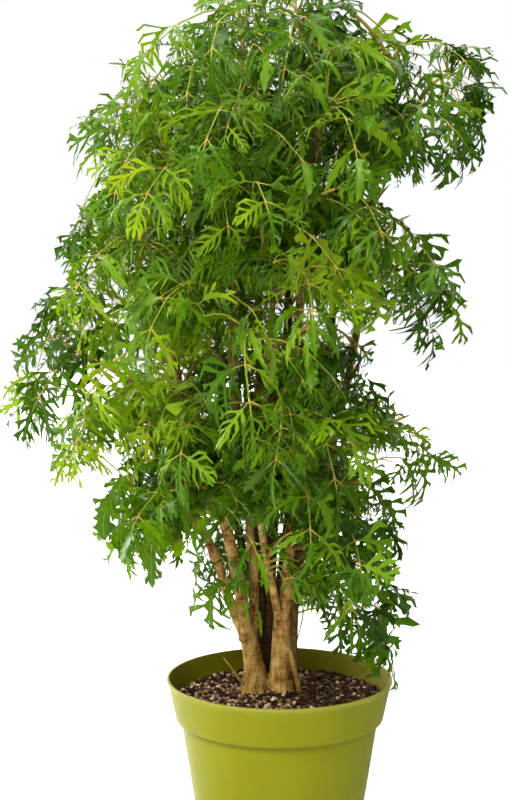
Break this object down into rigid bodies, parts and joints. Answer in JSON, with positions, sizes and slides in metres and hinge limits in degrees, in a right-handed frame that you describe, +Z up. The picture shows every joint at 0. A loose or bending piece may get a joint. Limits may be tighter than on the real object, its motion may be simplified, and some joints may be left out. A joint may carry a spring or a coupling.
{
  "type": "potted ming aralia",
  "caption": "Potted ming aralia: upright woody canes with drooping, finely cut leaves, rooted in soil in a plain round plastic nursery pot.",
  "frame": {"origin": "centre of the pot's flat foot, on the floor", "axes": "+Z up along the plant, +X to the right and +Y away from the viewer as in the picture"},
  "size_m": [0.3442, 0.3529, 0.6321],
  "materials": {
    "pot_plastic": "satin",
    "potting_soil": "matte",
    "bark": "matte",
    "foliage": "satin"
  },
  "bodies": {
    "root": {"pot": "pot_plastic", "shoot_01": "foliage", "shoot_02": "foliage", "shoot_03": "foliage", "shoot_04": "foliage", "shoot_05": "foliage", "shoot_06": "foliage", "shoot_07": "foliage", "shoot_08": "foliage", "shoot_09": "foliage", "shoot_10": "foliage", "shoot_11": "foliage", "shoot_12": "foliage", "shoot_13": "foliage", "shoot_14": "foliage", "shoot_15": "foliage", "shoot_16": "foliage", "shoot_17": "foliage", "shoot_18": "foliage", "shoot_19": "foliage", "shoot_20": "foliage", "shoot_21": "foliage", "shoot_22": "foliage", "shoot_23": "foliage", "shoot_24": "foliage", "shoot_25": "foliage", "shoot_26": "foliage", "shoot_27": "foliage", "shoot_28": "foliage", "shoot_29": "foliage", "shoot_30": "foliage", "shoot_31": "foliage", "shoot_32": "foliage", "shoot_33": "foliage", "shoot_34": "foliage", "shoot_35": "foliage", "shoot_36": "foliage", "shoot_37": "foliage", "shoot_38": "foliage", "shoot_39": "foliage", "shoot_40": "foliage", "shoot_41": "foliage", "shoot_42": "foliage", "shoot_43": "foliage", "shoot_44": "foliage", "shoot_45": "foliage", "shoot_46": "foliage", "shoot_47": "foliage", "shoot_48": "foliage", "shoot_49": "foliage", "shoot_50": "foliage", "shoot_51": "foliage", "shoot_52": "foliage", "shoot_53": "foliage", "shoot_54": "foliage", "soil": "potting_soil", "trunk_back": "bark", "trunk_left": "bark", "trunk_right": "bark"}
  },
  "joints": []
}
